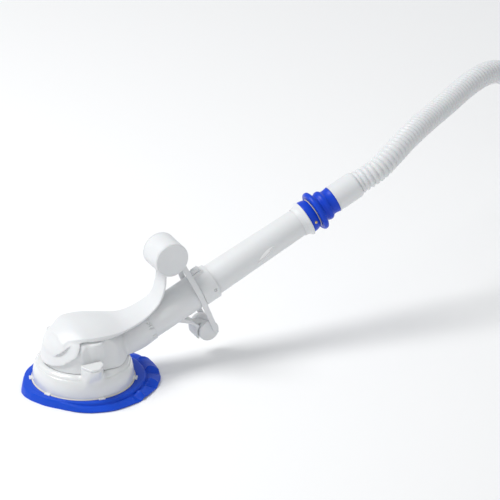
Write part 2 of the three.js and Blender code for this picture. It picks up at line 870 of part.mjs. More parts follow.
// ---------------------------------------------------------------- hose
// A round section swept along points.
function sweep(points, radius, sides, steps) {
  const section = new THREE.Shape();
  section.moveTo(radius, 0);
  for (let i = 1; i < sides; i += 1) {
    const angle = (i / sides) * 2 * Math.PI;
    section.lineTo(radius * Math.cos(angle), radius * Math.sin(angle));
  }
  const path = new THREE.CatmullRomCurve3(points);
  const options = { steps, bevelEnabled: false, extrudePath: path };
  return solid(new THREE.ExtrudeGeometry(section, options));
}

function hoseTube() {
  const onAxis = (station) => new THREE.Vector3(0, 0, station).applyMatrix4(tubeFrame);
  const start = [cuffEnd + clearance, ...hoseLead.map((lead) => cuffEnd + lead)].map(onAxis);
  return sweep([...start, ...hoseRoute.map(vector3)], hoseRadius, hoseSides, hoseSteps);
}

function hoseCoil() {
  const across = ((coil.turns - 1) * coil.spacing) / 2;
  const middle = coil.turn - across;
  const height = hoseFloor + (coil.layers - 1) * coil.spacing + hoseRadius;
  return round(middle + across + hoseRadius, 0, height, middle - across - hoseRadius, roundSteps)
    .translate([coil.x, coil.y, 0]);
}

// The far cuff lies along the top of the coil.
function farCuff() {
  const top = hoseFloor + (coil.layers - 1) * coil.spacing + hoseRadius + clearance;
  const along = coil.turn - coil.spacing / 2;
  return cuffShape(0, hoseRadius - 1)
    .rotate([0, 90, 0])
    .translate([coil.x - cuff.length / 2, coil.y + along, top + cuff.radius]);
}

// ---------------------------------------------------------------- assembly
const cleaner = new THREE.Group();
const tube = new THREE.Group();
tube.applyMatrix4(tubeFrame);
const floatGroup = new THREE.Group();
floatGroup.position.set(...floatPlace);
cleaner.add(tube, floatGroup);

function piece(name, shape, finish, parent = cleaner) {
  const { vertProperties, triVerts } = shape.getMesh();
  const geometry = new THREE.BufferGeometry();
  geometry.setAttribute("position", new THREE.BufferAttribute(vertProperties, 3));
  geometry.setIndex(new THREE.BufferAttribute(triVerts, 1));
  geometry.computeVertexNormals();
  const mesh = new THREE.Mesh(geometry, new THREE.MeshStandardMaterial(finish));
  mesh.name = name;
  parent.add(mesh);
}

// The finished group stands with its origin under the middle of the cleaner, hose left out.
const noseEnd = skirtOffset - skirtRadius;
const cuffEdge = new THREE.Vector3(cuff.radius - 1, 0, cuffEnd).applyMatrix4(tubeFrame);
cleaner.position.x = -(noseEnd + cuffEdge.x) / 2;

piece("skirt_disc", skirtDisc(), skirtBlue);
piece("foot_ring", footRing(), offWhite);
piece("foot_bowl", footBowl(), white);
piece("throat_seat", throatSeat(), darkRubber);
piece("body_housing", bodyHousing(), white);
piece("top_cover", topCover(), white);
piece("flow_duct", flowDuct(), offWhite);
piece("flapper_valve", flapperValve(), darkRubber);
piece("flapper_pin", flapperPin(), steel);
for (const [side, word] of [[-1, "left"], [1, "right"]]) {
  piece(`flapper_bush_${word}`, pivotBush(side), offWhite);
  piece(`pivot_cap_${word}`, pivotCap(side), white);
  piece(`collar_screw_${word}`, collarScrew(side), steel, tube);
  piece(`roller_wheel_${word}`, rollerWheel(side), white);
  piece(`float_cap_${word}`, floatCap(side), white, floatGroup);
}
piece("float_shell", floatShell(), white, floatGroup);
piece("float_core", floatCore(), foam, floatGroup);
piece("body_tube", bodyTubeShape(), white, tube);
piece("flow_tube", flowTubeShape(), offWhite, tube);
piece("tube_collar", collarShape(), white, tube);
piece("latch_button", latchButton(), white, tube);
piece("latch_spring", latchSpring(), steel, tube);
piece("bumper_strap", bumperStrap(), white, tube);
piece("roller_arm", rollerArm(), white);
piece("roller_axle", rollerAxle(), steel);
piece("extension_tube", extensionTube(), white, tube);
piece("tube_end_ring", tubeEndRing(), white, tube);
piece("swivel_base", swivelBaseShape(), swivelBlue, tube);
piece("base_screw", baseScrewSpace(), brass, tube);
piece("swivel_washer", washerShape(), offWhite, tube);
piece("swivel_coupling", swivelCoupling(), swivelBlue, tube);
piece("hose_cuff", cuffShape(), hoseWhite, tube);
piece("hose_tube", hoseTube(), hoseWhite);
piece("hose_coil", hoseCoil(), hoseWhite);
piece("hose_end_cuff", farCuff(), hoseWhite);

export default cleaner;
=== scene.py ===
"""A suction-side pool cleaner: its head on a flexible skirt, the tube with float and rollers, and the hose."""
import json
import math

import bmesh
import bpy
import numpy as np
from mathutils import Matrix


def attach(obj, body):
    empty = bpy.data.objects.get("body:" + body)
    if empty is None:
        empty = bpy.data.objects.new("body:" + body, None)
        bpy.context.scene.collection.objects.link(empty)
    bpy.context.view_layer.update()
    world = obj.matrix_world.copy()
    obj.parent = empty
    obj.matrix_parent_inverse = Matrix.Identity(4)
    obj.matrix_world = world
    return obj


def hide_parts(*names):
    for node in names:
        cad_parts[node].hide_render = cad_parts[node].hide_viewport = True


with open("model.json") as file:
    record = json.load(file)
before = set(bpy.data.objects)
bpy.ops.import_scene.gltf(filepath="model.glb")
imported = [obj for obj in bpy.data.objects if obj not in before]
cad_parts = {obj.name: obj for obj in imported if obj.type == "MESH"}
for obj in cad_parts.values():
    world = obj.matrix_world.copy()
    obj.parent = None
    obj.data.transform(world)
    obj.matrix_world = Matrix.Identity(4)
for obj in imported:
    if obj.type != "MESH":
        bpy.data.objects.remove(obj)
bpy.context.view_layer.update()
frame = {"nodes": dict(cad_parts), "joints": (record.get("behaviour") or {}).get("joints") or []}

import openvdb
from mathutils import Matrix, Vector

# ---------------------------------------------------------------- places
# Pieces are laid out in millimetres from the floor under the middle of the bowl: the nose points
# to -X, the tube rises towards +X and the left side is -Y.
MM = 0.001
joints = {joint["name"]: joint for joint in frame["joints"]}
TUBE_PITCH = 23.5
TUBE_ORIGIN = 31
HEAD = Matrix.Translation((joints["skirt_spin"]["pos_m"][0], 0, 0)) @ Matrix.Scale(MM, 4)
TUBE_TURN = Matrix.Translation((0, 0, TUBE_ORIGIN)) @ Matrix.Rotation(math.radians(90 - TUBE_PITCH), 4, "Y")
TUBE = HEAD @ TUBE_TURN  # Z runs up the tube's axis, -X is its top side
GAP = 0.3

DECK = 49.7
TUBE_RADIUS = 27.75
TUBE_WALL = 2.6
EXTENSION = {"start": 232.3, "end": 434, "foot": 26.5, "head": 23}
COLLAR = {"start": 221, "end": 250, "radius": 29.5}
FLOAT = {"x": 148, "z": 196, "radius": 28.5, "half": 25}
ROLLER = {"x": 216, "z": 50.5, "radius": 17.3, "inner": 8, "outer": 19, "hub": 9, "bore": 2.5}
PIVOT = (-15, 0, 57)
HOSE_RADIUS = 19.75
CUFF_START = 490.1
CUFF_LENGTH = 46
CUFF_REST = 22.5  # from the far cuff's axis down to where it rests
COIL = {"x": 1270, "y": 93, "outer": 218, "inner": 177, "layer": 41, "layers": 3}
COIL_MIDDLE = (COIL["outer"] + COIL["inner"]) / 2


# ---------------------------------------------------------------- meshes
def piece(name, points, faces, place, material, body="head", stands_for=(), sharp=38):
    """A finished piece from points in millimetres: smooth, with edges sharper than an angle kept sharp."""
    mesh = bpy.data.meshes.new(name)
    mesh.from_pydata([tuple(p) for p in np.asarray(points, float)], [], [tuple(map(int, f)) for f in faces])
    work = bmesh.new()
    work.from_mesh(mesh)
    bmesh.ops.remove_doubles(work, verts=work.verts, dist=1e-3)
    bmesh.ops.recalc_face_normals(work, faces=work.faces)
    work.to_mesh(mesh)
    work.free()
    mesh.transform(place)
    mesh.shade_smooth()
    mesh.set_sharp_from_angle(angle=math.radians(sharp))
    mesh.materials.append(material)
    made = bpy.data.objects.new(name, mesh)
    bpy.context.scene.collection.objects.link(made)
    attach(made, body)
    if stands_for:
        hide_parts(*stands_for)
    return made


def softened(outline, radius, steps=4):
    """A closed outline with its corners rounded."""
    rounded = []
    count = len(outline)
    for i, corner in enumerate(outline):
        corner = np.array(corner, float)
        before = np.array(outline[i - 1], float) - corner
        after = np.array(outline[(i + 1) % count], float) - corner
        reach = min(radius, 0.45 * np.linalg.norm(before), 0.45 * np.linalg.norm(after))
        first = corner + before / np.linalg.norm(before) * reach
        last = corner + after / np.linalg.norm(after) * reach
        for k in range(steps + 1):
            t = k / steps
            rounded.append((1 - t) ** 2 * first + 2 * t * (1 - t) * corner + t * t * last)
    return rounded


def turned(profile, radius=0.6, steps=96):
    """A closed profile of radius and height turned about Z."""
    outline = [(max(0.0, float(r)), float(h)) for r, h in softened(profile, radius)]
    count = len(outline)
    points = []
    for i in range(steps):
        angle = 2 * math.pi * i / steps
        points += [(r * math.cos(angle), r * math.sin(angle), h) for r, h in outline]
    faces = []
    for i in range(steps):
        here, there = i * count, (i + 1) % steps * count
        faces += [(here + k, there + k, there + (k + 1) % count, here + (k + 1) % count) for k in range(count)]
    return points, faces


def crosswise(profile, x, z, side=1, radius=0.6, steps=96):
    """A turned piece whose axis runs along Y at a place in X and Z, with its heights towards one side."""
    points, faces = turned(profile, radius, steps)
    return [(px + x, side * pz, py + z) for px, py, pz in points], faces


def ribbon(sections):
    """A closed band or tube through sections of equal size, capped at both ends."""
    count = len(sections[0])
    points = [p for section in sections for p in section]
    faces = [tuple(range(count))[::-1]]
    for i in range(len(sections) - 1):
        for k in range(count):
            low, high = i * count, (i + 1) * count
            faces.append((low + k, low + (k + 1) % count, high + (k + 1) % count, high + k))
    faces.append(tuple((len(sections) - 1) * count + k for k in range(count)))
    return points, faces


# ---------------------------------------------------------------- moulded shapes
# A moulding is given by a distance: negative inside the plastic and positive outside it.
def joined(a, b, soft):
    share = np.clip(0.5 + 0.5 * (b - a) / soft, 0, 1)
    return b + (a - b) * share - soft * share * (1 - share)


def cut(a, b, soft):
    return -joined(-a, b, soft)


def common(a, b, soft):
    return -joined(-a, -b, soft)


def moulded(distance, low, high, step):
    """The surface of a moulding inside a box, settled onto its exact skin."""
    axes = [np.arange(a, b + step, step) for a, b in zip(low, high)]
    size = tuple(len(axis) for axis in axes)
    values = np.broadcast_to(distance(*np.meshgrid(*axes, indexing="ij", sparse=True)), size)
    grid = openvdb.FloatGrid(50.0)
    grid.copyFromArray(np.ascontiguousarray(values, dtype=np.float32), tolerance=0)
    points, quads = grid.convertToQuads(isovalue=0.0)
    points = np.array(low, float) + points.astype(float) * step
    probe = 0.2 * step
    for _ in range(3):
        x, y, z = points.T
        slope = np.stack([
            distance(x + probe, y, z) - distance(x - probe, y, z),
            distance(x, y + probe, z) - distance(x, y - probe, z),
            distance(x, y, z + probe) - distance(x, y, z - probe),
        ], axis=1) / (2 * probe)
        steepness = np.maximum((slope ** 2).sum(1), 0.05)
        move = slope * (distance(x, y, z) / steepness)[:, None]
        length = np.linalg.norm(move, axis=1, keepdims=True)
        points = points - move * np.minimum(1, 0.5 * step / np.maximum(length, 1e-9))
    return points, quads


def smooth_line(points, steps):
    """A smooth curve through points, with even spacing in its parameter."""
    points = np.array(points, float)
    padded = np.vstack([2 * points[0] - points[1], points, 2 * points[-1] - points[-2]])
    line = []
    for i in range(len(points) - 1):
        a, b, c, d = padded[i:i + 4]
        knots = [0.0]
        for p, q in ((a, b), (b, c), (c, d)):
            knots.append(knots[-1] + max(np.linalg.norm((q - p)[:3]), 1e-6) ** 0.5)
        t0, t1, t2, t3 = knots
        for t in np.linspace(t1, t2, steps, endpoint=False):
            ab = (t1 - t) / (t1 - t0) * a + (t - t0) / (t1 - t0) * b
            bc = (t2 - t) / (t2 - t1) * b + (t - t1) / (t2 - t1) * c
            cd = (t3 - t) / (t3 - t2) * c + (t - t2) / (t3 - t2) * d
            abc = (t2 - t) / (t2 - t0) * ab + (t - t0) / (t2 - t0) * bc
            bcd = (t3 - t) / (t3 - t1) * bc + (t - t1) / (t3 - t1) * cd
            line.append((t2 - t) / (t2 - t1) * abc + (t - t1) / (t2 - t1) * bcd)
    line.append(points[-1])
    return np.array(line)


# ---------------------------------------------------------------- finishes
def group(name, inputs, outputs):
    """An empty node group with named sockets."""
    made = bpy.data.node_groups.new(name, "ShaderNodeTree")
    for label, kind, value in inputs:
        socket = made.interface.new_socket(label, in_out="INPUT", socket_type=kind)
        socket.default_value = value
    for label, kind in outputs:
        made.interface.new_socket(label, in_out="OUTPUT", socket_type=kind)
    return made, made.nodes.new("NodeGroupInput"), made.nodes.new("NodeGroupOutput")


def node(tree, kind, **values):
    made = tree.nodes.new(kind)
    for label, value in values.items():
        if label.startswith("in_"):
            made.inputs[int(label[3:])].default_value = value
        else:
            setattr(made, label, value)
    return made


def moulded_skin_group():
    """Moulded plastic: a fine grain, slow changes of gloss, and faint patches of wear."""
    tree, given, put = group(
        "moulded skin",
        [
            ("Colour", "NodeSocketColor", (0.8, 0.8, 0.8, 1)),
            ("Soiled colour", "NodeSocketColor", (0.6, 0.6, 0.55, 1)),
            ("Roughness", "NodeSocketFloat", 0.35),
            ("Texture size", "NodeSocketFloat", 400.0),
            ("Bump", "NodeSocketFloat", 0.05),
            ("Soiling", "NodeSocketFloat", 0.1),
        ],
        [("Colour", "NodeSocketColor"), ("Roughness", "NodeSocketFloat"), ("Normal", "NodeSocketVector")],
    )
    link = tree.links.new
    place = node(tree, "ShaderNodeTexCoord")
    grain = node(tree, "ShaderNodeTexNoise")
    grain.inputs["Detail"].default_value = 3
    link(place.outputs["Object"], grain.inputs["Vector"])
    link(given.outputs["Texture size"], grain.inputs["Scale"])
    cloud = node(tree, "ShaderNodeTexNoise")
    cloud.inputs["Scale"].default_value = 14
    cloud.inputs["Detail"].default_value = 5
    link(place.outputs["Object"], cloud.inputs["Vector"])
    patches = node(tree, "ShaderNodeMapRange")
    patches.inputs["From Min"].default_value = 0.45
    patches.inputs["From Max"].default_value = 0.8
    link(cloud.outputs["Fac"], patches.inputs["Value"])
    soiled = node(tree, "ShaderNodeMath", operation="MULTIPLY")
    link(patches.outputs["Result"], soiled.inputs[0])
    link(given.outputs["Soiling"], soiled.inputs[1])
    tone = node(tree, "ShaderNodeMix", data_type="RGBA")
    link(soiled.outputs[0], tone.inputs["Factor"])
    link(given.outputs["Colour"], tone.inputs["A"])
    link(given.outputs["Soiled colour"], tone.inputs["B"])
    link(tone.outputs["Result"], put.inputs["Colour"])
    spread = node(tree, "ShaderNodeMapRange")
    spread.inputs["To Min"].default_value = -0.06
    spread.inputs["To Max"].default_value = 0.08
    link(cloud.outputs["Fac"], spread.inputs["Value"])
    rough = node(tree, "ShaderNodeMath", operation="ADD")
    link(given.outputs["Roughness"], rough.inputs[0])
    link(spread.outputs["Result"], rough.inputs[1])
    link(rough.outputs[0], put.inputs["Roughness"])
    bump = node(tree, "ShaderNodeBump")
    bump.inputs["Distance"].default_value = 0.0004
    link(given.outputs["Bump"], bump.inputs["Strength"])
    link(grain.outputs["Fac"], bump.inputs["Height"])
    link(bump.outputs["Normal"], put.inputs["Normal"])
    return tree


SKIN = moulded_skin_group()


def finish(name, colour, soiled, roughness, size=420.0, bump=0.08, soiling=0.12, **shader_values):
    """A material with the moulded skin, whose constant values are set on the shader itself."""
    material = bpy.data.materials.new(name)
    material.use_nodes = True
    tree = material.node_tree
    shader = tree.nodes["Principled BSDF"]
    skin = tree.nodes.new("ShaderNodeGroup")
    skin.node_tree = SKIN
    skin.inputs["Colour"].default_value = (*colour, 1)
    skin.inputs["Soiled colour"].default_value = (*soiled, 1)
    skin.inputs["Roughness"].default_value = roughness
    skin.inputs["Texture size"].default_value = size
    skin.inputs["Bump"].default_value = bump
    skin.inputs["Soiling"].default_value = soiling
    tree.links.new(skin.outputs["Colour"], shader.inputs["Base Color"])
    tree.links.new(skin.outputs["Roughness"], shader.inputs["Roughness"])
    tree.links.new(skin.outputs["Normal"], shader.inputs["Normal"])
    for label, value in shader_values.items():
        shader.inputs[label.replace("_", " ").title().replace("Ior", "IOR")].default_value = value
    return material


white_plastic = finish(
    "white plastic", (0.74, 0.75, 0.76), (0.64, 0.64, 0.61), 0.46,
    subsurface_weight=0.04, subsurface_scale=0.004,
)
glossy_plastic = finish(
    "glossy white plastic", (0.75, 0.76, 0.76), (0.62, 0.61, 0.56), 0.2, bump=0.04, coat_weight=0.5,
    coat_roughness=0.08, subsurface_weight=0.04, subsurface_scale=0.004,
)
cream_plastic = finish("cream plastic", (0.76, 0.72, 0.60), (0.5, 0.46, 0.36), 0.45, soiling=0.25)
hose_plastic = finish(
    "hose plastic", (0.75, 0.76, 0.77), (0.60, 0.61, 0.60), 0.4, bump=0.12,
    subsurface_weight=0.08, subsurface_scale=0.003,
)
skirt_rubber = finish(
    "blue skirt rubber", (0.001, 0.064, 0.60), (0.004, 0.06, 0.36), 0.42, size=700.0, bump=0.16, soiling=0.35,
    specular_ior_level=0.28,
)
swivel_blue = finish(
    "blue swivel rubber", (0.001, 0.052, 0.60), (0.003, 0.048, 0.35), 0.36, size=600.0, bump=0.14, soiling=0.3,
    specular_ior_level=0.28,
)
dark_rubber = finish("dark rubber", (0.025, 0.026, 0.03), (0.09, 0.09, 0.085), 0.6, size=900.0, bump=0.3)
steel = finish("stainless steel", (0.62, 0.63, 0.64), (0.4, 0.4, 0.4), 0.26, size=1200.0, metallic=1.0)
brass = finish("screw brass", (0.75, 0.55, 0.22), (0.4, 0.28, 0.12), 0.25, size=1200.0, metallic=1.0)
bright_plastic = finish("bright white plastic", (0.93, 0.93, 0.93), (0.86, 0.86, 0.84), 0.3, soiling=0.05)
foam = finish("float foam", (0.72, 0.78, 0.80), (0.6, 0.64, 0.66), 0.8, size=1500.0, bump=0.6)


# ---------------------------------------------------------------- camera, light and floor
VIEW = Vector((-0.4045, -0.7939, 0.454))  # towards the camera
TARGET = Vector((0.0795, -0.0351, 0.1892))
DISTANCE = 9.0
VIEW_WIDTH = 0.8
SENSOR = 36
FLOOR_REACH = 12


def stand_camera():
    data = bpy.data.cameras.new("camera")
    data.sensor_width = SENSOR
    data.lens = SENSOR * DISTANCE / VIEW_WIDTH
    data.clip_end = 60
    camera = bpy.data.objects.new("camera", data)
    camera.location = TARGET + VIEW.normalized() * DISTANCE
    camera.rotation_euler = VIEW.to_track_quat("Z", "Y").to_euler()
    bpy.context.scene.collection.objects.link(camera)
    bpy.context.scene.camera = camera


def area_light(name, place, size, power, target=(0, 0, 0.1)):
    data = bpy.data.lights.new(name, "AREA")
    data.size = size
    data.energy = power
    light = bpy.data.objects.new(name, data)
    light.location = place
    light.rotation_euler = (Vector(place) - Vector(target)).to_track_quat("Z", "Y").to_euler()
    bpy.context.scene.collection.objects.link(light)


def light_and_floor():
    area_light("key", (-1.6, 0.7, 2.6), 1.2, 62)
    area_light("fill", (-1.2, -3.2, 1.2), 3.0, 9)
    area_light("rim", (2.6, 2.0, 2.4), 2.0, 7)
    world = bpy.data.worlds.new("studio")
    world.use_nodes = True
    background = world.node_tree.nodes["Background"]
    background.inputs["Color"].default_value = (0.96, 0.98, 1.0, 1)
    background.inputs["Strength"].default_value = 0.54
    bpy.context.scene.world = world
    bpy.context.scene.view_settings.view_transform = "Standard"
    mesh = bpy.data.meshes.new("floor")
    corners = [(x * FLOOR_REACH, y * FLOOR_REACH, 0) for x, y in ((-1, -1), (1, -1), (1, 1), (-1, 1))]
    mesh.from_pydata(corners, [], [(0, 1, 2, 3)])
    floor = bpy.data.objects.new("floor", mesh)
    paint = bpy.data.materials.new("pale floor")
    paint.use_nodes = True
    shader = paint.node_tree.nodes["Principled BSDF"]
    shader.inputs["Base Color"].default_value = (0.96, 0.96, 0.96, 1)
    shader.inputs["Roughness"].default_value = 0.9
    mesh.materials.append(paint)
    bpy.context.scene.collection.objects.link(floor)


# ---------------------------------------------------------------- hose
HOSE_ROUTE = [
    (562, 11, 276), (595, 30, 285), (630, 54, 288), (667, 82, 287), (706, 111, 285), (744, 139, 284),
    (782, 166, 284), (820, 190, 283), (845, 206, 279), (869, 220, 272), (897, 236, 256), (921, 250, 234),
    (942, 261, 207), (957, 269, 175), (968, 273, 140), (981, 279, 107), (1000, 287, 78), (1025, 295, 53),
    (1055, 303, 35), (1089, 309, 24), (1117, 311, 20.55), (1139.2, 311, 20.05),
]
HOSE_PITCH = 8.6
HOSE_RINGS = 6  # to a rib
HOSE_SIDES = 20
FLOOR_LEVEL = HOSE_RADIUS + GAP
COIL_TOP = FLOOR_LEVEL + (COIL["layers"] - 1) * COIL["layer"] + HOSE_RADIUS + GAP + CUFF_REST


def tube_point(station):
    return TUBE_TURN @ Vector((0, 0, station))


def coil_line():
    """The coil's turns: two side by side, in three layers, and the last stretch over the top to the cuff."""
    outer, inner, middle, top = COIL["outer"], COIL["inner"], COIL_MIDDLE, COIL_TOP
    levels = [FLOOR_LEVEL + k * COIL["layer"] for k in range(COIL["layers"])]
    stations = [
        (0, outer, levels[0]), (0.85, outer, levels[0]), (1, inner, levels[0]), (1.7, inner, levels[0]),
        (1.85, inner, levels[1]), (2.7, inner, levels[1]), (2.85, outer, levels[1]), (3.55, outer, levels[1]),
        (3.7, outer, levels[2]), (4.7, outer, levels[2]), (4.9, inner, levels[2]), (5.3, inner, levels[2]),
        (5.58, inner, top - 4), (5.85, middle, top), (6, middle, top),
    ]
    line = []
    for (turn, radius, level), (next_turn, next_radius, next_level) in zip(stations, stations[1:]):
        count = max(2, round((next_turn - turn) * 120))
        for k in range(count):
            share = k / count
            ease = share * share * (3 - 2 * share)
            angle = math.pi / 2 - 2 * math.pi * (turn + (next_turn - turn) * share)
            r = radius + (next_radius - radius) * ease
            line.append((
                COIL["x"] + r * math.cos(angle),
                COIL["y"] + r * math.sin(angle),
                level + (next_level - level) * ease,
            ))
    line.append((COIL["x"], COIL["y"] + middle, top))
    return line


def even(line, spacing):
    """The same line, with points a fixed distance apart."""
    line = np.array(line, float)
    run = np.concatenate([[0], np.cumsum(np.linalg.norm(np.diff(line, axis=0), axis=1))])
    count = round(run[-1] / spacing)
    places = np.linspace(0, run[-1], count + 1)
    return np.stack([np.interp(places, run, line[:, k]) for k in range(3)], axis=1), run[-1]


def corrugated(line, rings, sides):
    """A ribbed tube along a line, as thick as the hose, ribbed once every few rings."""
    count = len(line)
    heading = np.gradient(line, axis=0)
    heading /= np.linalg.norm(heading, axis=1, keepdims=True)
    up = np.array([0.0, 0.0, 1.0])
    sections = []
    across = np.cross(heading[0], up)
    for i in range(count):
        across = across - heading[i] * across.dot(heading[i])
        across /= np.linalg.norm(across)
        other = np.cross(heading[i], across)
        phase = i % rings / rings
        rib = HOSE_RADIUS - 2.8 * (0.5 + 0.5 * math.cos(2 * math.pi * phase)) ** 3
        angles = 2 * np.pi * np.arange(sides) / sides
        sections.append(line[i] + rib * (np.cos(angles)[:, None] * across + np.sin(angles)[:, None] * other))
    return ribbon([list(map(tuple, section)) for section in sections])


def hose():
    cuff_end = CUFF_START + CUFF_LENGTH
    near = [tuple(tube_point(station)) for station in (cuff_end + GAP, cuff_end + 40)]
    route = smooth_line(near + HOSE_ROUTE, 14)
    end_x, end_y, _ = HOSE_ROUTE[-1]
    straight = [(x, end_y, FLOOR_LEVEL) for x in np.linspace(end_x, COIL["x"], 12)[1:-1]]
    whole = np.vstack([route, straight, coil_line()])
    line, length = even(whole, HOSE_PITCH / HOSE_RINGS)
    points, faces = corrugated(line, HOSE_RINGS, HOSE_SIDES)
    made = piece("hose", points, faces, HEAD, hose_plastic,
                 stands_for=("hose_tube", "hose_coil"), sharp=80)
    path = [tuple(HEAD @ Vector(p)) for p in line[::HOSE_RINGS]]
    return made, path, length * MM


def end_cuff():
    start = (COIL["x"] - CUFF_LENGTH / 2, COIL["y"] + COIL_MIDDLE, COIL_TOP)
    place = HEAD @ Matrix.Translation(start) @ Matrix.Rotation(math.pi / 2, 4, "Y")
    points, faces = turned(cuff_profile(0, HOSE_RADIUS + 0.1))
    return piece("end_cuff", points, faces, place, hose_plastic, stands_for=("hose_end_cuff",))


def tie(index, angle):
    """A soft strap round the coil's turns."""
    half_wide, low, high = 42, 0.2, 124.0
    outline = softened([(-half_wide, low), (half_wide, low), (half_wide, high), (-half_wide, high)], 19, 8)
    centre = np.mean(outline, axis=0)
    width, thickness = 24, 1.3
    turn = Matrix.Rotation(math.radians(angle), 4, "Z")
    sections = []
    for p in outline:
        inward = p + np.array([
            -math.copysign(thickness, p[0] - centre[0]), math.copysign(thickness, centre[1] - p[1]),
        ])
        section = []
        for q, y in ((p, -width / 2), (p, width / 2), (inward, width / 2), (inward, -width / 2)):
            spot = turn @ Vector((COIL_MIDDLE + q[0], y, q[1]))
            section.append((spot.x + COIL["x"], spot.y + COIL["y"], spot.z))
        sections.append(section)
    count = len(sections)
    points = [p for section in sections for p in section]
    faces = []
    for i in range(count):
        here, there = 4 * i, 4 * ((i + 1) % count)
        faces += [(here + k, here + (k + 1) % 4, there + (k + 1) % 4, there + k) for k in range(4)]
    return piece(f"hose_tie_{index}", points, faces, HEAD, dark_rubber)


# ---------------------------------------------------------------- head
BRIM = np.array([
    (-38, 24, 94), (-20, 43, 103), (0, 47, 102), (43, 43, 99), (78, 30, 99), (107, 24, 109),
    (127, 19, 124), (136, 18, 145), (139, 17, 174),
])
BRIM_LINE = smooth_line(BRIM, 16)
BRIM_HEADING = np.gradient(BRIM_LINE[:, [0, 2]], axis=0)
BRIM_HEADING /= np.linalg.norm(BRIM_HEADING, axis=1, keepdims=True)
BRIM_THICKNESS = 3.6
NECK_CROWN = 9


def dome(x, y, z):
    """The helmet's round body: slightly tapering sides under an oval cap."""
    radius = np.hypot(x, y)
    side = radius - np.interp(z, [50, 72], [70.5, 65])
    wide, high = 65, 40
    level = z - 72
    share = np.sqrt((radius / wide) ** 2 + (level / high) ** 2)
    slope = np.sqrt((radius / wide ** 2) ** 2 + (level / high ** 2) ** 2) + 1e-6
    return np.where(z < 72, side, share * (share - 1) / slope)


def over_brim(x, z):
    """At a place in X and Z: the height over the brim's line, the half width, the crown and the overrun."""
    x, z = np.broadcast_arrays(x, z)
    flat = np.stack([x.ravel(), z.ravel()], axis=1)
    line = BRIM_LINE[:, [0, 2]]
    nearest = np.empty(len(flat), int)
    for first in range(0, len(flat), 20000):
        part = flat[first:first + 20000]
        gaps = ((part[:, None, :] - line[None]) ** 2).sum(2)
        nearest[first:first + 20000] = gaps.argmin(1)
    ahead = flat - line[nearest]
    heading = BRIM_HEADING[nearest]
    run = (ahead * heading).sum(1)
    rise = ahead[:, 1] * heading[:, 0] - ahead[:, 0] * heading[:, 1]
    spacing = 4.0
    place = nearest + np.clip(run / spacing, -0.5, 0.5)
    half = np.interp(place, np.arange(len(line)), BRIM_LINE[:, 1])
    share = place / (len(line) - 1)
    crown = NECK_CROWN * np.maximum(0, 1 - 1.25 * share)
    overrun = np.abs(run) - spacing
    return [a.reshape(x.shape) for a in (rise, half, crown, overrun)]


def lip_line(z):
    """How far forward the recess under the brim reaches."""
    return np.interp(z, [50, 56, 62, 70, 80, 92, 100], [-74, -66, -55, -45, -35, -28, -23])


def flank(z):
    return np.interp(z, [50, 98], [62, 48])


def helmet(x, y, z):
    """The cover's whole skin and the field under its brim."""
    rise, half, crown, overrun = over_brim(x, z)
    across = np.abs(y)
    top = rise - crown * (1 - np.minimum(1, (y / half) ** 2))
    slab = np.abs(top + BRIM_THICKNESS / 2) - BRIM_THICKNESS / 2
    neck = common(common(slab, across - half, 1.6), overrun, 0.5)
    body = common(dome(x, y, z), DECK + GAP - z, 0.6)
    skin = joined(body, neck, 13)
    under = np.maximum(top + BRIM_THICKNESS, lip_line(z) - x)
    return skin, under


def eye_scoop(x, y, z):
    """A leaf-shaped scoop on each side of the nose, deepest under its brow."""
    across = np.abs(y)
    start = np.array([-70, 13, 52])
    end = np.array([-20, 49, 101])
    axis = (end - start) / np.linalg.norm(end - start)
    middle = (start + end) / 2 + np.array([-5.5, 5.5, 1.5])
    outward = np.array([-0.60, 0.80, 0.05])
    outward -= axis * outward.dot(axis)
    outward /= np.linalg.norm(outward)
    brow = np.cross(axis, outward)
    if brow[2] < 0:
        brow = -brow
    px, py, pz = x - middle[0], across - middle[1], z - middle[2]
    along = px * axis[0] + py * axis[1] + pz * axis[2]
    out = px * outward[0] + py * outward[1] + pz * outward[2]
    rise = px * brow[0] + py * brow[1] + pz * brow[2]
    reach = 42
    narrow = np.sqrt(np.clip(1 - (along / reach) ** 2, 0, 1))
    slope = out + 0.62 * rise + 1.6 + 3.2 * (1 - narrow)
    upper = rise - 6 * np.minimum(1, 2.2 * narrow)
    lower = -11 * narrow - rise
    return common(common(-slope, upper, 0.4), common(lower, np.abs(along) - reach, 0.8), 0.8)


def hollow(x, y, z):
    inside = common(dome(x, y, z) + 6.3, np.abs(y) - flank(z) + 3, 1)
    return common(inside, z - 95, 1)


def top_cover(x, y, z):
    skin, under = helmet(x, y, z)
    skin = cut(skin, under, 1.2)
    skin = cut(skin, eye_scoop(x, y, z), 0.7)
    skin = cut(skin, hollow(x, y, z), 1)
    tube = tube_distance(x, y, z)[1] - TUBE_RADIUS - GAP
    skin = cut(skin, tube, 0.4)
    return cut(skin, np.hypot(x - FLOAT["x"], z - FLOAT["z"]) - FLOAT["radius"] - GAP, 0.4)


def tube_distance(x, y, z):
    """A place's station along the tube and its distance from the axis."""
    pitch = math.radians(TUBE_PITCH)
    station = x * math.cos(pitch) + (z - TUBE_ORIGIN) * math.sin(pitch)
    over = (z - TUBE_ORIGIN) * math.cos(pitch) - x * math.sin(pitch)
    return station, np.hypot(over, y)


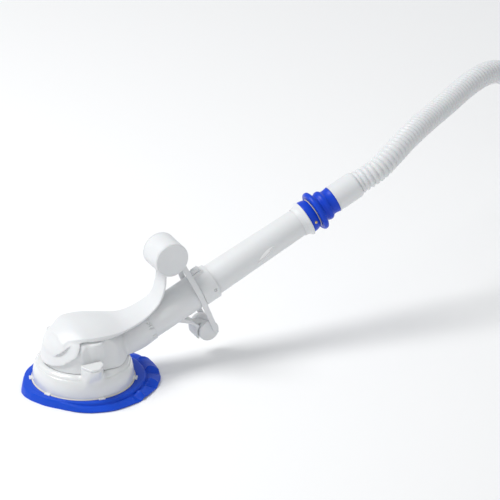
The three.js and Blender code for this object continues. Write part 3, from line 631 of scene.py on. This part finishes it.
def body_housing(x, y, z):
    across = np.abs(y)
    recess = 4.5 * np.clip(-x / 35, 0, 1)
    core = common(dome(x, y, z) + recess, across - flank(z), 1.5)
    column = common(np.hypot(x, across - 41) - 17, z - 96, 5)
    station, radius = tube_distance(x, y, z)
    around = np.interp(station, [40, 60, 80, 100, 126], [35, 34, 31.8, 30.2, 28.9])
    fairing = common(common(radius - around, station - 126, 0.6), 40 - station, 2)
    shape = joined(joined(core, column, 3), fairing, 2.5)
    shape = common(shape, z - 99, 1)
    shape = common(shape, DECK + GAP - z, 0.8)
    shape = common(shape, helmet(x, y, z)[1] + GAP, 0.5)
    shape = cut(shape, hollow(x, y, z), 1)
    shape = cut(shape, radius - TUBE_RADIUS - GAP, 0.4)
    hole = np.hypot(x - PIVOT[0], z - PIVOT[2]) - 6.3
    return cut(shape, np.maximum(hole, 30 - across), 0.3)


def bowl_radius(z):
    share = np.clip((z - 12) / 38, 0, 1)
    return 70 + 9.5 * (1 - share ** 3.5) + 2.5 * (1 - share)


def boss(x, y, z):
    """A D-shaped block over each end of the flapper's pin, chamfered at the rear."""
    across = np.abs(y)
    sides = common(-33 - x, x - 3, 1.5)
    front = common(across - 86, sides, 14)
    front = common(front, ((x - 3) * 15 + (across - 71) * 13) / 19.85, 2)
    front = common(front, (-32.5 - x) * 0.89 + (across - 68) * 0.45, 3)
    low = common(20 - z, across - 86 - np.minimum(0, z - 62) * 0.46, 4)
    return common(common(front, low, 6), 60 - across, 1)


def head_space(x, y, z):
    core = np.maximum(dome(x, y, z), np.abs(y) - flank(z))
    column = np.hypot(x, np.abs(y) - 41) - 17
    return np.maximum(np.minimum(core, column) - GAP, DECK - 0.2 - z)


def foot_bowl(x, y, z):
    radius = np.hypot(x, y)
    outside = common(common(radius - bowl_radius(z), z - DECK, 5), 12 - z, 1.2)
    step = np.abs(np.hypot(radius - bowl_radius(43.0), z - 43.0)) - 0.9
    outside = cut(outside, step, 0.8)
    block = common(boss(x, y, z), z - 63.6, 0.8)
    shape = joined(outside, block, 5)
    shape = cut(shape, head_space(x, y, z), 0.4)
    inside = common(common(radius - bowl_radius(z) + 3.5, z - 46.7, 4), 15 - z, 1)
    shape = cut(shape, inside, 1)
    shape = cut(shape, np.maximum(radius - 60, z - 16), 1)
    return cut(shape, np.maximum(radius - 30, 45 - z), 1)


def pivot_cap(side):
    def cap(x, y, z):
        lid = common(boss(x, y, z), z - 67.6, 1.4)
        lid = common(lid, 63.9 - z, 0.4)
        lid = cut(lid, head_space(x, y, z), 0.4)
        return np.maximum(lid, -side * y)
    return cap


def bowl_tab(angle):
    """A bayonet tab at the bowl's rim."""
    points, faces = moulded(
        lambda x, y, z: common(
            common(np.abs(x - 83.5) - 3.5, np.abs(y) - 5.5, 0.8), np.abs(z - 13.2) - 1.4, 0.8,
        ),
        (78, -7, 10.5), (89, 7, 16), 0.6,
    )
    turn = math.radians(angle)
    x, y, z = points.T
    cos, sin = math.cos(turn), math.sin(turn)
    return np.stack([x * cos - y * sin, x * sin + y * cos, z], axis=1), faces


def together(shapes):
    """Several meshes as one set of points and faces."""
    points, faces, count = [], [], 0
    for some, their in shapes:
        points.append(np.asarray(some, float))
        faces += [tuple(int(k) + count for k in face) for face in their]
        count += len(some)
    return np.vstack(points), faces


def head():
    points, faces = moulded(top_cover, (-76, -76, 46), (146, 76, 178), 1.5)
    piece("cover", points, faces, HEAD, white_plastic, stands_for=("top_cover",), sharp=60)
    points, faces = moulded(body_housing, (-74, -66, 46), (136, 66, 112), 1.5)
    piece("housing", points, faces, HEAD, white_plastic,
          stands_for=("body_housing",), sharp=60)
    bowl = moulded(foot_bowl, (-85, -90, 9), (85, 90, 70), 1.5)
    tabs = [bowl_tab(angle) for angle in (-158, -95, -32, 32, 95, 158)]
    points, faces = together([bowl] + tabs)
    piece("bowl", points, faces, HEAD, glossy_plastic, stands_for=("foot_bowl",), sharp=60)
    for side, word in ((-1, "left"), (1, "right")):
        low, high = ((-36, -90, 62), (6, -44, 70)) if side < 0 else ((-36, 44, 62), (6, 90, 70))
        points, faces = moulded(pivot_cap(side), low, high, 0.8)
        piece(f"pivot_lid_{word}", points, faces, HEAD, glossy_plastic,
              stands_for=(f"pivot_cap_{word}",), sharp=60)
    bead = [(81.4, 11.9), (83.4, 11.9), (83.4, 13.2), (81.4, 13.6)]
    points, faces = turned(bead, 0.5, 160)
    piece("rim_bead", points, faces, HEAD, cream_plastic)
    ring = [(60, 4.4), (79, 4.4), (80, 5.4), (80, 7.9), (70, 7.9), (70, 11.7), (60, 11.7)]
    points, faces = turned(ring, 0.6, 128)
    piece("ring_under_bowl", points, faces, HEAD, cream_plastic, stands_for=("foot_ring",))
    seat = [(25.7, 40.4), (33.7, 43.4), (33.7, 46.4), (29.7, 46.4), (29.7, 49.7), (25.7, 49.7)]
    points, faces = turned(seat, 0.5, 96)
    piece("seat_in_throat", points, faces, HEAD, dark_rubber, stands_for=("throat_seat",))
    points, faces = crosswise([(0, -70), (2.5, -70), (2.5, 70), (0, 70)], PIVOT[0], PIVOT[2], 1, 0.4, 32)
    piece("pin_of_flapper", points, faces, HEAD, steel, stands_for=("flapper_pin",))


# ---------------------------------------------------------------- skirt
SKIRT_RINGS = [
    70.6, 74, 78, 82, 83.2, 84.6, 87, 90, 93, 94.8, 95.6, 96.2, 97.2, 98.6, 100.4, 102.4, 104.4, 106.4, 108.2,
    109.8, 111, 111.8,
]
SKIRT_STEPS = 360
SKIRT_EDGE = (  # how far the skirt reaches, by the angle from the rear
    [0, 8, 20, 36, 52, 70, 90, 109, 118, 128, 140, 150, 162, 172, 180],
    [127, 127, 125.5, 121, 114, 111, 109, 106, 102, 97.5, 96, 97, 100, 104, 105],
)
FOLDS = (10, 32, 57)  # where the skirt is pleated, either way from the rear


def smoothly(low, high, value):
    share = np.clip((value - low) / (high - low), 0, 1)
    return share * share * (3 - 2 * share)


def skirt_top(radius, angle):
    """Height of the skirt's upper face. The angle is in degrees from the rear, from -180 to 180."""
    flat = np.interp(
        radius,
        [70.6, 82, 83.2, 84.6, 93, 94.8, 96.2, 97.2, 98.6, 102.4, 107, 111.8],
        [11.4, 11.4, 11.9, 12.6, 12.4, 11.6, 7.2, 6.8, 8.0, 7.6, 5.6, 3.2],
    )
    turned_down = np.interp(
        radius,
        [70.6, 82, 83.2, 84.6, 93, 96.2, 100.4, 106.4, 108.2, 109.8, 111.8],
        [11.4, 11.4, 11.9, 12.8, 13.2, 12.9, 12.9, 12.7, 11.2, 6.8, 1.6],
    )
    away = np.abs(angle)
    nose = smoothly(100, 150, away)
    height = flat + (turned_down - flat) * nose
    lift = np.interp(radius, [96.2, 99, 103, 108, 111.8], [0, 0.75, 1, 0.8, 0.35])
    folded = 0.0
    for fold in FOLDS:
        ahead = away - fold
        ridge = 4.4 * np.exp(-(ahead / 1.7) ** 2)
        tail = 2.6 * np.exp(-np.abs(ahead) / 9) * (ahead < 0)
        pocket = -4.4 * np.exp(-((ahead - 4.6) / 2.8) ** 2)
        folded = folded + ridge + tail + pocket
    return height + lift * folded * (1 - nose)


def skirt():
    angles = np.linspace(-180, 180, SKIRT_STEPS, endpoint=False)
    thickness = 3.0
    top, under = [], []
    for radius in SKIRT_RINGS:
        share = max(0, (radius - 84) / 28)
        wave = share * (0.7 * np.sin(np.radians(5 * angles + 40)) + 0.5 * np.sin(np.radians(11 * angles)) - 0.9)
        edge = np.interp(np.abs(angles), *SKIRT_EDGE)
        reach = radius + wave + share * (edge - SKIRT_RINGS[-1])
        x = reach * np.cos(np.radians(angles))
        y = reach * np.sin(np.radians(angles))
        height = np.maximum(skirt_top(radius, angles), 1.2)
        below = np.maximum(height - thickness, 0.05)
        if radius > 111.5:
            below = np.maximum(height - 1.6, 0.05)
        top.append(np.stack([x, y, height], axis=1))
        under.append(np.stack([x, y, below], axis=1))
    loops = top + under[::-1]
    points = np.vstack(loops)
    faces = []
    for i in range(len(loops)):
        here, there = i * SKIRT_STEPS, (i + 1) % len(loops) * SKIRT_STEPS
        faces += [
            (here + k, here + (k + 1) % SKIRT_STEPS, there + (k + 1) % SKIRT_STEPS, there + k)
            for k in range(SKIRT_STEPS)
        ]
    piece("skirt_sheet", points, faces, HEAD, skirt_rubber, "skirt", ("skirt_disc",), sharp=50)


# ---------------------------------------------------------------- tube
def extension_radius(station):
    share = (station - EXTENSION["start"]) / (EXTENSION["end"] - EXTENSION["start"])
    return EXTENSION["foot"] + (EXTENSION["head"] - EXTENSION["foot"]) * share


def pipe(outer_start, outer_end, start, end, name, node_name):
    """A length of the tube, straight or tapered."""
    inner_start, inner_end = outer_start - TUBE_WALL, outer_end - TUBE_WALL
    profile = [(inner_start, start), (outer_start, start), (outer_end, end), (inner_end, end)]
    points, faces = turned(profile, 0.5, 128)
    return piece(name, points, faces, TUBE, white_plastic, stands_for=(node_name,))


def bow(start, pull, end, count):
    """A curve between two points, pulled towards a third."""
    start, pull, end = np.array(start), np.array(pull), np.array(end)
    return [(1 - t) ** 2 * start + 2 * t * (1 - t) * pull + t * t * end for t in np.linspace(0, 1, count)]


def crescent_cutter():
    """A leaf-shaped cutter for the slot on the tube's left side."""
    start, end = 325, 362
    half = (end - start) / 2
    middle = (start + end) / 2
    rise, width = 10, 7.4
    foot, tip = (-half, -rise / 2), (half, rise / 2)
    outline = bow(foot, (half * 0.2, -rise / 2 - 1), tip, 17)
    outline += bow(tip, (0, -rise / 2 + 2 * width), foot, 17)[1:-1]
    surface = extension_radius(middle)
    sections = []
    for depth in (-surface - 8, -surface + 2.1):
        sections.append([(-across, depth, along + middle) for along, across in outline])
    return ribbon(sections)


def extension():
    made = pipe(EXTENSION["foot"], EXTENSION["head"], EXTENSION["start"], EXTENSION["end"],
                "long_tube", "extension_tube")
    points, faces = crescent_cutter()
    mesh = bpy.data.meshes.new("crescent")
    mesh.from_pydata([tuple(p) for p in points], [], faces)
    mesh.transform(TUBE)
    mesh.materials.append(bright_plastic)
    work = bmesh.new()
    work.from_mesh(mesh)
    bmesh.ops.recalc_face_normals(work, faces=work.faces)
    work.to_mesh(mesh)
    work.free()
    cutter = bpy.data.objects.new("crescent", mesh)
    bpy.context.scene.collection.objects.link(cutter)
    boolean = made.modifiers.new("slot", "BOOLEAN")
    boolean.operation = "DIFFERENCE"
    boolean.solver = "EXACT"
    boolean.material_mode = "TRANSFER"
    boolean.object = cutter
    bpy.context.view_layer.update()
    shaped = bpy.data.meshes.new_from_object(made.evaluated_get(bpy.context.evaluated_depsgraph_get()))
    made.modifiers.clear()
    made.data = shaped
    shaped.set_sharp_from_angle(angle=math.radians(30))
    bpy.data.objects.remove(cutter)


def collar_shape(x, y, z):
    radius = np.hypot(x, y)
    ring = common(radius - COLLAR["radius"], np.abs(z - 235.5) - 14.5, 1.2)
    surround = common(common(-33 - x, np.abs(y) - 8.5, 1.6), common(221.5 - z, z - 242.5, 0.6), 1.6)
    surround = common(surround, x + 20, 1)
    shape = joined(ring, surround, 2.5)
    well = np.maximum(np.maximum(x + 29.35, np.abs(y) - 6.3), np.maximum(223.7 - z, z - 240.3))
    shape = cut(shape, well, 0.4)
    shape = cut(shape, np.maximum(radius - TUBE_RADIUS - GAP, z - EXTENSION["start"]), 0.4)
    shape = cut(shape, radius - EXTENSION["foot"] - GAP, 0.4)
    dimple = np.hypot(x, z - 243) - 2.6
    return cut(shape, np.maximum(dimple, 27.7 - np.abs(y)), 0.3)


def latch_shape(x, y, z):
    block = common(np.abs(y) - 6, common(224 - z, z - 240, 0.8), 0.8)
    slope = ((-x - 37) * 0.93 + np.maximum(0, (229 - z)) * 0.5)
    shape = common(common(block, slope, 1.2), x + 32.2, 0.3)
    ribs = 0.35 * np.cos((z - 224) * 2 * np.pi / 3.2)
    shape = shape + np.where(x < -34, ribs * 0.6, 0)
    return cut(shape, np.maximum(np.hypot(y, z - 232) - 3.3, -35.5 - x), 0.3)


def tube_pieces():
    pipe(TUBE_RADIUS, TUBE_RADIUS, 78, 232, "lower_tube", "body_tube")
    extension()
    points, faces = moulded(collar_shape, (-38, -31, 219), (31, 31, 252), 1.0)
    piece("collar", points, faces, TUBE, white_plastic, stands_for=("tube_collar",), sharp=50)
    points, faces = moulded(latch_shape, (-39, -8, 222), (-29, 8, 242), 0.6)
    piece("latch", points, faces, TUBE, white_plastic, "latch", ("latch_button",), sharp=50)
    ring = [
        (23.6, 420), (24.3, 420), (24.8, 423.5), (26.2, 427.5), (28.8, 430.6), (30, 432), (30, 434),
        (23.6, 434),
    ]
    points, faces = turned(ring, 1.0, 128)
    piece("flared_end", points, faces, TUBE, white_plastic, stands_for=("tube_end_ring",))
    for side, word in ((-1, "left"), (1, "right")):
        place = TUBE @ Matrix.Translation((0, 0, 243)) @ Matrix.Rotation(math.radians(-90 * side), 4, "X")
        profile = [(0, 27.9), (2.2, 27.9), (2.2, 29.4), (1.2, 30.0), (0.5, 30.0), (0.5, 29.2), (0, 29.2)]
        points, faces = turned(profile, 0.2, 32)
        piece(f"screw_{word}", points, faces, place, steel,
              stands_for=(f"collar_screw_{word}",))


# ---------------------------------------------------------------- swivel and cuffs
def cuff_profile(start, socket):
    end = start + CUFF_LENGTH
    return [
        (socket, start), (23.0, start), (23.0, start + 1.8), (22.5, start + 2.8), (22.3, end - 2.6),
        (21.4, end - 1.4),
        (21.0, end), (17, end), (17, start + 22), (socket, start + 22),
    ]


def swivel():
    base = [
        (17, 414.3), (20, 414.3), (20, 434.3), (26.8, 434.3), (27.6, 435.8), (27.2, 441), (25.8, 446),
        (24.2, 449),
        (17, 449),
    ]
    points, faces = turned(base, 1.0, 128)
    piece("swivel_foot", points, faces, TUBE, swivel_blue, stands_for=("swivel_base",))
    coupling = [
        (14, 434.3), (16.7, 434.3), (16.7, 451.1), (26, 451.1), (30.5, 450.6), (33.2, 452.6), (33.9, 455.6),
        (33.2, 458.6), (30.2, 460.6), (26.4, 461.2), (24.0, 463.0), (23.6, 465.4), (24.8, 467.6), (25.6, 470),
        (25.6, 473.2), (24.2, 475.6), (22.0, 477.4), (21.2, 480), (21.3, 484), (22.0, 488), (22.3, 489.8),
        (20.5, 489.8), (20.5, 511.8), (14, 511.8),
    ]
    points, faces = turned(coupling, 1.2, 128)
    piece("swivel_sleeve", points, faces, TUBE, swivel_blue, "swivel", ("swivel_coupling",))
    points, faces = turned(cuff_profile(CUFF_START, 20.8), 0.6, 128)
    piece("cuff", points, faces, TUBE, hose_plastic, "swivel", ("hose_cuff",))
    washer = [(17, 449.3), (24.8, 449.3), (24.8, 450.3), (17, 450.3)]
    points, faces = turned(washer, 0.3, 96)
    piece("washer", points, faces, TUBE, cream_plastic, stands_for=("swivel_washer",))
    place = TUBE @ Matrix.Translation((0, 0, 441.3)) @ Matrix.Rotation(math.radians(90), 4, "X")
    screw = [(0, 24), (2.4, 24), (2.4, 27.6), (1.4, 28.3), (0.5, 28.3), (0.5, 27.4), (0, 27.4)]
    points, faces = turned(screw, 0.2, 32)
    piece("swivel_screw", points, faces, place, brass, stands_for=("base_screw",))


# ---------------------------------------------------------------- float, strap and rollers
def float_pieces():
    shell = [(26.3, -22), (28.5, -22), (28.5, 22), (26.3, 22)]
    points, faces = crosswise(shell, FLOAT["x"], FLOAT["z"], 1, 0.6, 128)
    piece("float_body", points, faces, HEAD, white_plastic, stands_for=("float_shell",))
    for side, word in ((-1, "left"), (1, "right")):
        cap = [
            (0, 21.3), (25.3, 21.3), (25.3, 22.3), (28.5, 22.3), (28.5, 24.0), (27.3, 25.0), (25.6, 25.0),
            (25.2, 24.5), (0, 24.5),
        ]
        points, faces = crosswise(cap, FLOAT["x"], FLOAT["z"], side, 0.5, 128)
        piece(f"float_end_{word}", points, faces, HEAD, white_plastic,
              stands_for=(f"float_cap_{word}",))
        wheel = [
            (2.8, 8), (13.8, 8), (17.3, 10), (17.3, 17.8), (16.4, 19), (15.2, 19), (14.8, 18.6), (0, 18.6),
            (0, 16.3), (2.8, 16.3),
        ]
        points, faces = crosswise(wheel, ROLLER["x"], ROLLER["z"], side, 0.7, 96)
        piece(f"roller_{word}", points, faces, HEAD, white_plastic, "rollers",
              (f"roller_wheel_{word}",))
    points, faces = crosswise([(0, -16), (2.5, -16), (2.5, 16), (0, 16)], ROLLER["x"], ROLLER["z"], 1, 0.4, 32)
    piece("axle", points, faces, HEAD, steel, "rollers", ("roller_axle",))


STRAP_STATION = 216
STRAP_WIDTH = 9
STRAP_THICKNESS = 2.5


def strap():
    """A closed band across the tube: under the float, round the tube and behind the rollers."""
    half = STRAP_THICKNESS / 2
    place = TUBE_TURN.inverted()
    above = place @ Vector((FLOAT["x"], 0, FLOAT["z"]))
    below = place @ Vector((ROLLER["x"], 0, ROLLER["z"]))

    def reach(spot, radius):
        ahead = max(0, STRAP_STATION - STRAP_WIDTH / 2 - spot.z)
        return math.sqrt(radius ** 2 - ahead ** 2)

    top = -above.x - reach(above, FLOAT["radius"]) - GAP - half
    bottom = below.x + reach(below, ROLLER["radius"]) + 2 * GAP + half
    left = [
        (-top, 0), (-top + 2, 10.5), (-top + 10, 15), (-20.8, 27.6), (0, 29.6), (20.8, 27.1),
        (bottom - 9, 17), (bottom - 2, 10.5), (bottom, 0),
    ]
    loop = left + [(x, -y) for x, y in left[1:-1][::-1]]
    steps = 12
    line = smooth_line([(x, y, 0) for x, y in loop + loop[:3]], steps)
    line = line[steps:steps + steps * len(loop)]
    heading = np.roll(line, -1, axis=0) - np.roll(line, 1, axis=0)
    heading /= np.linalg.norm(heading, axis=1, keepdims=True)
    edge = STRAP_WIDTH / 2
    section = softened([(-half, -edge), (half, -edge), (half, edge), (-half, edge)], 0.8, 3)
    points, faces = [], []
    for p, h in zip(line, heading):
        points += [(p[0] + h[1] * s, p[1] - h[0] * s, STRAP_STATION + w) for s, w in section]
    count = len(section)
    for i in range(len(line)):
        here, there = i * count, (i + 1) % len(line) * count
        faces += [(here + k, here + (k + 1) % count, there + (k + 1) % count, there + k) for k in range(count)]
    piece("strap", points, faces, TUBE, white_plastic, stands_for=("bumper_strap",))


def arm_shape(x, y, z):
    """The arm that leaves the tube's underside and cups the rollers from ahead."""
    across = np.abs(y)
    out = np.hypot(x - ROLLER["x"], z - ROLLER["z"])
    angle = np.degrees(np.arctan2(z - ROLLER["z"], x - ROLLER["x"])) % 360
    inner = ROLLER["radius"] + 1.2
    cup = common(np.abs(out - inner - 1.5) - 1.5, (np.abs(angle - 186) - 29) * 0.35, 0.8)
    a, b = np.array([169.0, 77.0]), np.array([199.5, 60.5])
    run = b - a
    share = np.clip(((x - a[0]) * run[0] + (z - a[1]) * run[1]) / run.dot(run), 0, 1)
    sag = 2.0 * np.sin(np.pi * share)
    thick = 4.2 - 2.4 * share
    root = np.hypot(x - a[0] - share * run[0], z - a[1] - share * run[1] - sag) - thick
    wide = np.interp(x, [165, 200], [11, 15])
    shape = common(joined(cup, root, 5), across - wide, 1.2)
    half_web = 11.5 + np.maximum(0, ROLLER["x"] - x) * 0.1
    web = common(common(out - inner - 1.5, x - ROLLER["x"], 1), np.abs(z - ROLLER["z"]) - half_web, 1)
    hub = out - ROLLER["hub"]
    shape = joined(shape, common(joined(web, hub, 1), across - ROLLER["inner"] + GAP, 0.5), 1.5)
    shape = cut(shape, out - 2.8, 0.3)
    wheels = np.maximum(np.maximum(out - ROLLER["radius"] - 0.8, ROLLER["inner"] - across), across - 20)
    shape = cut(shape, wheels, 0.3)
    return cut(shape, tube_distance(x, y, z)[1] - TUBE_RADIUS - GAP, 0.3)


def arm():
    points, faces = moulded(arm_shape, (158, -17, 34), (228, 17, 86), 0.9)
    piece("roller_bracket", points, faces, HEAD, white_plastic,
          stands_for=("roller_arm",), sharp=50)


# ---------------------------------------------------------------- kept solids
def finish_inner_pieces():
    finishes = {
        "flow_duct": cream_plastic, "flow_tube": cream_plastic, "flapper_bush_left": cream_plastic,
        "flapper_bush_right": cream_plastic, "flapper_valve": dark_rubber, "latch_spring": steel,
        "float_core": foam,
    }
    for name, material in finishes.items():
        solid = frame["nodes"][name]
        solid.data.materials.clear()
        solid.data.materials.append(material)


stand_camera()
light_and_floor()
hose_piece, hose_path, hose_length = hose()
far_cuff = end_cuff()
ties = [tie(index + 1, angle) for index, angle in enumerate((-30, 210))]
head()
skirt()
tube_pieces()
swivel()
float_pieces()
strap()
arm()
finish_inner_pieces()
